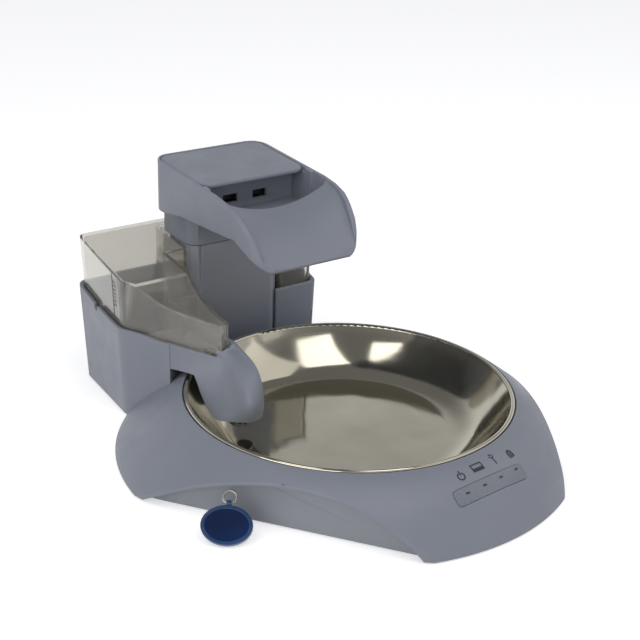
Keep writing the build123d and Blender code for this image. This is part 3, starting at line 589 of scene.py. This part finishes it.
# moulded edges: these nodes are shown by copies with their sharp edges rounded
softening = {
    "weld": 2e-6,
    "flatAngle": 0.002,  # radians, as is the next
    "sharpAngle": 0.6,
    "segments": 3,
    "rimSegments": 5,
    "rimUpright": 0.6,  # least upward share of the normal on top of a rim
    "fillShare": 0.45,  # of the edge, the most that a rounded hollow may stand out
    "shadeAngle": 50,  # degrees
}
softEdges = {
    "head_lid": {"body": "lid", "edge": 0.0009, "onlyConvex": True},
    "spout_head": {"body": "head", "edge": 0.0009, "onlyConvex": True, "joinFlats": False},
    "tower_column": {"body": "fountain_unit", "edge": 0.0009, "keepSharp": (0.10, 0.2)},
    "reservoir_housing": {"body": "fountain_unit", "edge": 0.0005},
    "outlet_nose": {"body": "fountain_unit", "edge": 0.0004},
    "base_shell": {"body": "base", "edge": 0.0006, "joinFlats": False},
    "water_tank": {"body": "tank", "edge": 0.0007, "rimEdge": 0.0012, "rimAbove": 0.056, "shortest": 0.003},
    "collar_tag": {"body": "tag", "edge": 0.0005},
}


def sharpEdges(mesh, setup):
    chosen = []
    for edge in mesh.edges:
        if len(edge.link_faces) != 2 or (setup.get("onlyConvex") and not edge.is_convex):
            continue
        if edge.calc_face_angle(0) > softening["sharpAngle"] and edge.calc_length() > setup.get("shortest", 0):
            chosen.append(edge)
    return chosen


def isOuterRim(edge, above):
    low = min(vert.co.z for vert in edge.verts)
    upright = max(face.normal.z for face in edge.link_faces)
    return low > above and upright > softening["rimUpright"]


def roundEdges(mesh, edges, offset, segments):
    bmesh.ops.bevel(mesh, geom=edges, offset=offset, segments=segments, profile=0.5, affect="EDGES")


def softCopy(nodeName, setup):
    mesh = bmesh.new()
    mesh.from_mesh(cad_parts[nodeName].data)
    bmesh.ops.remove_doubles(mesh, verts=mesh.verts, dist=softening["weld"])
    skin = BVHTree.FromBMesh(mesh)
    if setup.get("joinFlats", True):
        flat = softening["flatAngle"]
        bmesh.ops.dissolve_limit(mesh, angle_limit=flat, verts=mesh.verts, edges=mesh.edges)
    if "rimEdge" in setup:
        rim = [edge for edge in sharpEdges(mesh, setup) if isOuterRim(edge, setup["rimAbove"])]
        roundEdges(mesh, rim, setup["rimEdge"], softening["rimSegments"])
    low, high = setup.get("keepSharp", (0, 0))  # heights between which edges stay sharp
    rounded = [edge for edge in sharpEdges(mesh, setup) if not low < edge.verts[0].co.z < high]
    roundEdges(mesh, rounded, setup["edge"], softening["segments"])
    inward = max(setup["edge"], setup.get("rimEdge", 0))
    outward = softening["fillShare"] * setup["edge"]
    for vert in mesh.verts:
        near, normal, _, distance = skin.find_nearest(vert.co)
        outside = (vert.co - near).dot(normal) > 0
        if distance > (outward if outside else inward):
            vert.co = near  # a stray corner goes back to the skin
    for face in mesh.faces:
        face.smooth = True
    data = bpy.data.meshes.new(nodeName + "Soft")
    mesh.to_mesh(data)
    mesh.free()
    data.set_sharp_from_angle(angle=math.radians(softening["shadeAngle"]))
    data.materials.append(finishes[nodeFinish[nodeName]])
    piece = bpy.data.objects.new(nodeName + "Soft", data)
    scene.collection.objects.link(piece)
    even = piece.modifiers.new("evenShade", "WEIGHTED_NORMAL")
    even.keep_sharp = True
    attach(piece, setup["body"])
    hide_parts(nodeName)


for nodeName, setup in softEdges.items():
    softCopy(nodeName, setup)
print("edges rounded")

# the valve's spring, which shortens as the plunger is pushed, is shown by a copy with its own mesh, carried
# with the tank; the copy is not made to shorten
spring = bpy.data.objects.new("valveSpring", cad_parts["valve_spring"].data.copy())
scene.collection.objects.link(spring)
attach(spring, "tank")
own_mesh(spring)
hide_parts("valve_spring")
print("spring placed")

# printed marks: thin ink ribbons laid on the surfaces that carry them
ink = {
    "lift": 0.00012,
    "thickness": 0.00008,
    "step": 0.0012,
    "startHeight": 0.01,  # above the surface, where each point is dropped from
}
iconMarks = {
    "size": 0.0072,
    "line": 0.0009,
    "pixels": {"power": (461, 476), "level": (477, 467), "drop": (493, 459), "lock": (509, 453)},
}
stripMarks = {
    "size": 0.0028,
    "line": 0.0013,
    "dash": [[(-0.3, 0), (0.3, 0)]],
    "pixels": [(468, 493), (485, 485), (501, 477), (516, 469)],
}
levelMark = {
    "size": 0.034,
    "line": 0.0009,
    "pixel": (113, 294),
    "tickCount": 7,
    "tickStart": -0.22,  # in shares of the size, as are the next two
    "tickStep": 0.09,
    "tickReach": (0.05, 0.16),
}


def viewRay(u, v):
    camera = scene.camera
    middle = cameraSetup["imageSize"] / 2
    pull = camera.data.lens / camera.data.sensor_width * cameraSetup["imageSize"]
    aim = Vector(((u - middle) / pull, (middle - v) / pull, -1.0))
    return camera.matrix_world.translation, (camera.matrix_world.to_3x3() @ aim).normalized()


class Surface:
    def __init__(self, nodeName):
        mesh = bmesh.new()
        mesh.from_mesh(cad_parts[nodeName].data)
        self.tree = BVHTree.FromBMesh(mesh)
        mesh.free()

    def hit(self, start, direction):
        point, normal, _, _ = self.tree.ray_cast(start, direction)
        if point is not None and normal.dot(direction) > 0:
            normal = -normal
        return point, normal


def arcPoints(centerX, centerY, radius, start, end, steps=14):
    points = []
    for step in range(steps + 1):
        angle = math.radians(start + (end - start) * step / steps)
        points.append((centerX + radius * math.cos(angle), centerY + radius * math.sin(angle)))
    return points


iconLines = {
    "power": [arcPoints(0, -0.05, 0.36, 125, 415), [(0, 0.1), (0, 0.5)]],
    "level": [
        [(-0.62, 0.36), (0.62, 0.36), (0.62, -0.36), (-0.62, -0.36), (-0.62, 0.36)],
        [(-0.6, -0.12), (0.6, -0.12)],
        [(-0.6, -0.24), (0.6, -0.24)],
    ],
    "drop": [[(0, -0.5), (0, 0.12)], [(-0.26, 0.3), (0, 0.12), (0.26, 0.3)], [(-0.14, 0.5), (0.14, 0.5)]],
    "lock": [
        [(-0.3, -0.45), (0.3, -0.45), (0.3, 0.1), (-0.3, 0.1), (-0.3, -0.45)],
        [(-0.28, -0.28), (0.28, -0.28)],
        [(-0.28, -0.1), (0.28, -0.1)],
        arcPoints(0, 0.1, 0.2, 180, 0, 8),
    ],
}


def layPoint(surface, anchor, axes, flat):
    across, upward, outward = axes
    beside = anchor + across * flat.x + upward * flat.y
    point, _ = surface.hit(beside + outward * ink["startHeight"], -outward)
    return beside if point is None else point


def inkRibbon(mesh, surface, anchor, axes, line, width):
    outward = axes[2]
    for (x0, y0), (x1, y1) in zip(line, line[1:]):
        run = Vector((x1 - x0, y1 - y0, 0))
        side = Vector((-run.y, run.x, 0)).normalized() * width / 2
        ends = run.normalized() * width / 2
        steps = max(1, int(run.length / ink["step"]))
        lower, upper = [], []
        for step in range(steps + 1):
            middle = Vector((x0, y0, 0)) - ends + (run + 2 * ends) * (step / steps)
            for row, sign in ((lower, -1), (upper, 1)):
                base = layPoint(surface, anchor, axes, middle + side * sign)
                under = mesh.verts.new(base + outward * ink["lift"])
                top = mesh.verts.new(base + outward * (ink["lift"] + ink["thickness"]))
                row.append([under, top])
        for step in range(steps):
            a, b, c, d = lower[step], lower[step + 1], upper[step + 1], upper[step]
            mesh.faces.new((a[1], b[1], c[1], d[1]))
            mesh.faces.new((d[0], c[0], b[0], a[0]))
            mesh.faces.new((a[0], b[0], b[1], a[1]))
            mesh.faces.new((c[0], d[0], d[1], c[1]))
        for a, d in ((lower[0], upper[0]), (upper[-1], lower[-1])):
            mesh.faces.new((a[0], a[1], d[1], d[0]))


def addMark(name, surfaceName, body, pixel, lines, setup, finish):
    surface = Surface(surfaceName)
    anchor, outward = surface.hit(*viewRay(*pixel))
    if anchor is None:
        raise ValueError("mark " + name + " misses " + surfaceName)
    across = Vector((0, 0, 1)).cross(outward).normalized()
    upward = outward.cross(across).normalized()
    size = setup["size"]
    mesh = bmesh.new()
    for line in lines:
        scaled = [(x * size, y * size) for x, y in line]
        inkRibbon(mesh, surface, anchor, (across, upward, outward), scaled, setup["line"])
    bmesh.ops.recalc_face_normals(mesh, faces=mesh.faces)
    data = bpy.data.meshes.new(name)
    mesh.to_mesh(data)
    mesh.free()
    data.materials.append(finishes[finish])
    piece = bpy.data.objects.new(name, data)
    scene.collection.objects.link(piece)
    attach(piece, body)


def levelLines(setup):
    near, far = setup["tickReach"]
    heights = [setup["tickStart"] + setup["tickStep"] * tick for tick in range(setup["tickCount"])]
    return [[(0, -0.5), (0, 0.5)]] + [[(near, y), (far, y)] for y in heights]


for iconName, pixel in iconMarks["pixels"].items():
    addMark(iconName + "Mark", "base_shell", "base", pixel, iconLines[iconName], iconMarks, "markInk")
for number, pixel in enumerate(stripMarks["pixels"]):
    markName = "stripMark" + str(number)
    addMark(markName, "indicator_window", "base", pixel, stripMarks["dash"], stripMarks, "markInk")
addMark("levelMark", "water_tank", "tank", levelMark["pixel"], levelLines(levelMark), levelMark, "tankInk")
print("marks laid")
